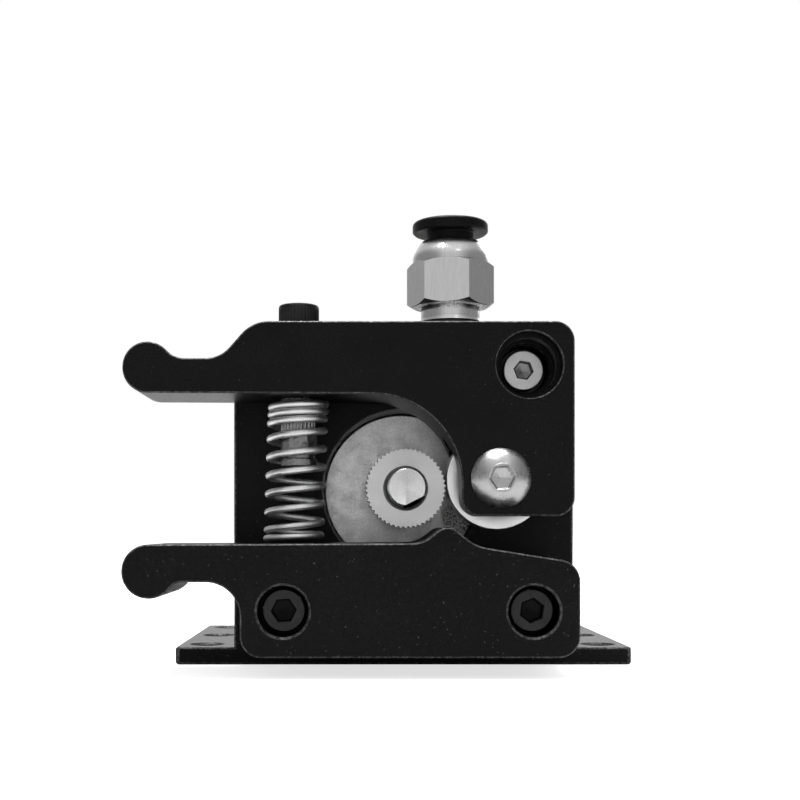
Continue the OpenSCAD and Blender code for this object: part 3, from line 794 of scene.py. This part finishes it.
def shaft():
    bar = turned("motor_shaft_bar", rounded([
        (0, -21.5, 0), (2.1, -21.5, 0.1), (2.49, -21.1, 0.1), (2.49, 31.7, 0.05), (2.3, 31.9, 0.04),
        (0, 31.9, 0),
    ], closed=False, step=25), front(), 96)
    reach = 1.95
    aim = front() @ Matrix.Rotation(math.radians(-FLAT), 4, "Z")
    carve(bar, prism("flat", rectangle(reach, -5, reach + 5, 5), [(16.9, 0), (33, 0)], aim))
    place(bar, "rotor", "shaft_steel", SHAFT, "motor_shaft")


def gear():
    """The hobbed gear: 50 fine teeth, cut by the groove that grips the filament."""
    teeth, tip, root = 50, 5.3, 5.0
    phases = [(0.0, root), (0.1, root), (0.43, tip), (0.57, tip), (0.9, root)]
    angles = [(2 * math.pi * (i + p) / teeth, r) for i in range(teeth) for p, r in phases]
    hob, groove_at, front_y, hub_y, back_y = 0.95, tip + 0.45, -27.0, -22.0, -16.0
    stations = [front_y, front_y + 0.05, front_y + 0.3]
    stations += [FILAMENT[1] + hob * math.sin(math.radians(a)) for a in range(-70, 71, 7)]
    stations += [hub_y - 0.25, hub_y]

    def limit(y):
        away = abs(y - FILAMENT[1])
        groove = groove_at - math.sqrt(max(0, hob * hob - away * away)) if away < hob else tip
        return min(groove, tip - 0.05 + (y - front_y), tip - 0.25 + hub_y - y)

    rings = []
    for y in stations:
        rings.append([
            (min(r, limit(y)) * math.cos(a), min(r, limit(y)) * math.sin(a), -y)
            for a, r in angles
        ])
    for y, r in ((hub_y, root - 0.06), (back_y - 0.25, root - 0.06), (back_y, root - 0.3),
                 (back_y, 2.75), (back_y - 0.25, 2.51), (front_y + 0.5, 2.51), (front_y + 0.42, 2.55),
                 (front_y, 2.95)):
        rings.append([(r * math.cos(a), r * math.sin(a), -y) for a, _ in angles])
    wheel = loft("drive_gear_wheel", rings, front(), loop=True)
    across = up(0, -19, 0) @ Matrix.Rotation(math.radians(90 + FLAT), 4, "Y")
    carve(wheel, turned("tap", [
        (0, 1.5), (1.5, 1.5), (1.5, 4.9), (2.2, 5.6), (0, 5.6),
    ], across, 48))
    place(wheel, "rotor", "gear_steel", GEAR, "drive_gear")
    grub = turned("gear_set_screw", [
        (0, 1.96), (1.0, 1.96), (1.2, 2.15), (1.47, 2.4), (1.47, 4.7), (1.35, 4.84), (0, 4.84),
    ], across, 48)
    carve(grub, hex_cutter(across, 1.5, 4.84, 1.4, 0, 0.08))
    place(grub, "rotor", "black_oxide", OXIDE, "gear_grub_screw")


shaft()
gear()


# ---------- idler bearing ----------

def bearing():
    where = front(*IDLER)
    low, high = 22.2, 27.2
    outer = turned("idler_bearing_outer", rounded([
        (6.5, low, 0.12), (6.5, high, 0.12), (4.75, high, 0.04), (4.75, high - 0.25, 0.04),
        (5.4, high - 0.4, 0.04), (5.4, low + 0.4, 0.04), (4.75, low + 0.25, 0.04),
        (4.75, low, 0.04),
    ], step=18), where, 144, loop=True)
    place(outer, "idler", "bearing_steel", BEARING, "idler_outer_ring")
    inner = ring("idler_bearing_inner", 3.1, 2.02, low, high, where, 0.15)
    place(inner, "arm", "bearing_steel", BEARING, "idler_inner_ring")
    shields = []
    for side, face in ((1, high - 0.1), (-1, low + 0.1)):
        profile = [(4.74, 0), (4.6, -0.08), (3.75, -0.08), (3.6, 0), (3.5, 0),
                   (3.5, -0.15), (3.7, -0.2), (4.6, -0.22), (4.74, -0.2)]
        points = [(r, face + side * t) for r, t in profile]
        shields.append(turned("shield", points, where, 96, loop=True))
    group("idler_bearing_shields", shields, "idler_shields",
          body="idler", slot="bearing_steel", material=BEARING)


bearing()


# ---------- spring and its guide ----------

def spring():
    """The return spring, closed at both ends, leaning from its foot to its top."""
    turns, per_turn, sides = 9.8, 40, 14
    outer, wire = 8.0, 0.92
    foot, top = -7.11, 11.72
    foot_x, (top_x, middle_y) = -14.7, GUIDE
    closed = wire + 0.03        # pitch of the closed turns
    start = 150                 # the wire starts at this angle round the spring
    count = round(turns * per_turn)

    def openness(turn):
        """0 where the turns are closed, 1 where they are fully open."""
        return min(1, max(0, (turn - 0.75) / 0.6)) * min(1, max(0, (turns - 2.1 - turn) / 1.4))

    total = [0.0]
    for i in range(count):
        total.append(total[-1] + openness((i + 0.5) / per_turn) / per_turn)
    opened = (top - foot - wire - closed * turns) / total[-1]
    r = (outer - wire) / 2

    def centre(i):
        turn = i / per_turn
        a = math.radians(360 * turn + start)
        return Vector((
            foot_x + (top_x - foot_x) * i / count + r * math.cos(a), middle_y + r * math.sin(a),
            AXIS_H + foot + wire / 2 + closed * turn + opened * total[i],
        ))

    rings = []
    for i in range(count + 1):
        here = centre(i)
        along = (centre(min(i + 1, count)) - centre(max(i - 1, 0))).normalized()
        a = math.radians(360 * i / per_turn + start)
        out = Vector((math.cos(a), math.sin(a), 0))
        out = (out - along * out.dot(along)).normalized()
        side = along.cross(out)
        size = wire / 2 * (0.8 if i in (0, count) else 1)
        rings.append([here + out * x + side * y for x, y in circle(size, sides)])
    coil = loft("return_spring", rings, Matrix())
    place(coil, None, "spring_steel", SPRING, "arm_spring", weighted=False)
    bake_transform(coil)


def sleeve():
    """The guide's metal sleeve: knurled above, a faceted band with a small hole, a collar."""
    sides, r = 168, 2.37
    wave = [0, 0.3, 0.9, 1, 0.9, 0.3]
    knurl = [r - 0.15 * wave[k % 6] for k in range(sides)]
    faceted = []
    for k in range(sides):
        a = math.degrees(2 * math.pi * k / sides) % 30 - 15
        faceted.append(r * math.cos(math.radians(15)) / math.cos(math.radians(a)))
    waist = r - 0.27
    profile = [
        (1.52, 2.8), (r - 0.2, 2.8), (r, 2.95), (r, 3.75), (r - 0.1, 3.9), (waist, 3.95),
        (waist, 4.4), (faceted, 4.5), (faceted, 7.05), (waist, 7.15), (waist, 7.35),
        (r - 0.12, 7.4), (knurl, 7.55), (knurl, 11.6), (r - 0.15, 11.74), (1.52, 11.74),
    ]
    tube = turned("guide_sleeve_tube", profile, up(*GUIDE, 0), sides, loop=True)
    aim = up(*GUIDE, 5.5) @ Matrix.Rotation(math.radians(22), 4, "Z")
    aim = aim @ Matrix.Rotation(math.pi / 2, 4, "X")
    carve(tube, turned("hole", [
        (0, 1.9), (0.42, 1.9), (0.42, 2.2), (0.8, 2.6), (0, 2.6),
    ], aim, 32))
    place(tube, "arm", "chrome_screw", SLEEVE, "guide_sleeve")


spring()
sleeve()


# ---------- push-in tube fitting ----------

def fitting():
    """The fitting's shell with its hexagon, the seal under it and the release collet."""
    where = up(*FILAMENT, 0)
    sides = 144
    body = turned("fitting_shell", [
        (1.3, 15.0), (2.75, 15.0), (3.0, 15.3), (3.0, 21.85), (3.95, 21.95), (4.05, 22.0),
        (4.03, 22.1), (3.9, 22.3), (3.88, 22.5), (3.88, 23.95), (3.8, 24.1), (3.6, 24.15),
        (3.6, 29.0), (4.9, 29.0), (4.96, 29.95), (4.96, 30.3), (4.92, 30.6), (4.82, 30.9),
        (4.66, 31.2), (4.46, 31.55), (4.24, 31.93), (4.04, 32.25), (3.9, 32.45), (3.76, 32.6),
        (3.62, 32.66), (3.5, 32.67), (3.42, 32.6), (3.42, 26.2),
        (2.1, 26.2), (2.1, 22.2), (1.3, 22.0),
    ], where, sides, loop=True)
    nut = prism("nut", hexagon(10, -9.4), soft(23.97, 29.85, 0.06), where)
    cone = turned("cone", [
        (0, 23.8), (4.66, 23.8), (4.9, 23.97), (5.9, 24.57), (5.9, 29.2), (4.85, 29.85),
        (4.6, 30.0), (0, 30.0),
    ], where, sides)
    carve(nut, cone, operation="INTERSECT")
    carve(nut, turned("way", [(0, 23), (3.5, 23), (3.5, 31), (0, 31)], where, sides))
    join(body, nut)
    place(body, "arm", "fitting_nickel", NICKEL, "fitting_body", angle=35)
    gasket = turned("fitting_gasket", rounded([
        (4.1, 21.0, 0.2), (4.1, 21.9, 0.3), (3.05, 21.9, 0.05), (3.05, 21.0, 0.05),
    ], step=18), where, 96, loop=True)
    place(gasket, "arm", "seal_rubber", RUBBER, "fitting_seal")
    stem, rim, foot, top = 3.1, 4.98, 33.73, 35.2
    collet = turned("release_collar", rounded([
        (2.12, 30.4, 0.05), (2.9, 30.4, 0.1), (stem, 30.7, 0.1), (stem, foot, 0.12),
        (rim - 0.25, foot, 0.1), (rim, foot + 0.22, 0.15), (rim, top, 0.5), (2.75, top, 0.1),
        (2.12, top - 0.55, 0.1),
    ], step=10), where, sides, loop=True)
    place(collet, "collet", "fitting_plastic", COLLET, "release_collet")


fitting()


# ---------- CAD solids that stay, mostly inside ----------

for name, material in {
    "motor_coils": COPPER, "motor_bearing_outer_rings": BEARING, "motor_bearing_balls": BEARING,
    "motor_wave_washer": SPRING, "motor_bearing_inner_rings": BEARING, "rotor_core": STATOR,
    "rotor_magnet": MAGNET, "pivot_washer": OXIDE, "pivot_bush": BRASS, "idler_washers": ZINC,
    "idler_balls": BEARING, "fitting_insert": NICKEL, "tube_o_ring": RUBBER, "grip_claw": SPRING,
}.items():
    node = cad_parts[name]
    node.data.materials.clear()
    node.data.materials.append(material)


# ---------- floor, light and camera ----------

def studio():
    scene = bpy.context.scene
    scene.view_settings.view_transform = "Standard"
    floor = prism("floor", circle(3000, 128), [(-1, 0), (0, 0)], Matrix())
    floor.data.transform(Matrix.Scale(MM, 4))
    f = Finish("floor_finish")
    grain = f.noise(0.8, 3)
    seen = f.add("ShaderNodeLightPath").outputs["Is Camera Ray"]
    floor.data.materials.append(f.surface(
        f.mix(f.range(grain, 0.3, 0.7), 0.46, 0.5), 0.0, 0.8, f.bump(grain, 0.01),
        **{"Emission Color": (1, 1, 1, 1), "Emission Strength": f.math("MULTIPLY", seen, 0.7)}
    ))

    world = bpy.data.worlds.new("studio")
    world.use_nodes = True
    scene.world = world
    tree = world.node_tree
    tree.nodes.clear()

    def add(kind, *inputs, operation=None):
        made = tree.nodes.new(kind)
        if operation:
            made.operation = operation
        for k, value in enumerate(inputs):
            if isinstance(value, bpy.types.NodeSocket):
                tree.links.new(value, made.inputs[k])
            else:
                made.inputs[k].default_value = value
        return made

    def glow(strength):
        return add("ShaderNodeBackground", (1, 1, 1, 1), strength).outputs[0]

    def step(value, low, high, a, b):
        return add("ShaderNodeMapRange", value, low, high, a, b).outputs[0]

    way = add("ShaderNodeSeparateXYZ", add("ShaderNodeTexCoord").outputs["Generated"])
    across = add("ShaderNodeMath", way.outputs[0], operation="ABSOLUTE").outputs[0]
    # Polished parts mirror darker sides and a brighter sky
    cards = step(across, 0.35, 0.8, 1.0, 0.42)
    sky = step(way.outputs[2], 0.1, 0.9, 0.74, 1.1)
    mirrored = add("ShaderNodeMath", cards, sky, operation="MULTIPLY").outputs[0]
    rays = add("ShaderNodeLightPath").outputs
    light = add("ShaderNodeMixShader", rays["Is Diffuse Ray"], glow(mirrored), glow(1.15)).outputs[0]
    seen = add("ShaderNodeMixShader", rays["Is Camera Ray"], light, glow(1.0)).outputs[0]
    add("ShaderNodeOutputWorld", seen)

    # Each light's place, target, width and height in metres, and power in watts
    lights = {
        "top_light": ((-0.03, 0.03, 0.62), (-0.01, -0.03, 0), 0.4, 0.24, 8.0),
        "streak_light": ((0.2, -0.45, 0.46), (0, 0, 0.02), 0.06, 0.06, 0.08),
        "back_light": ((0.3, 0.8, 0.5), (0, 0, 0.03), 0.6, 0.5, 1.2),
    }
    for name, (at, target, width, height, power) in lights.items():
        data = bpy.data.lights.new(name, "AREA")
        data.shape, data.size, data.size_y, data.energy = "RECTANGLE", width, height, power
        lamp = bpy.data.objects.new(name, data)
        lamp.location = at
        lamp.rotation_euler = (Vector(target) - Vector(at)).to_track_quat("-Z", "Y").to_euler()
        scene.collection.objects.link(lamp)

    # The photograph's view: level, straight at the drive side, with a shifted frame
    lens = bpy.data.cameras.new("camera")
    lens.lens, lens.sensor_width = 56.25, 36
    lens.shift_x, lens.shift_y = 0.0525, 0.16
    lens.clip_start, lens.clip_end = 0.01, 20
    camera = bpy.data.objects.new("camera", lens)
    camera.location = (-6.23 * MM, -190.5 * MM, 18.7 * MM)
    camera.rotation_euler = (math.pi / 2, 0, 0)
    scene.collection.objects.link(camera)
    scene.camera = camera


studio()
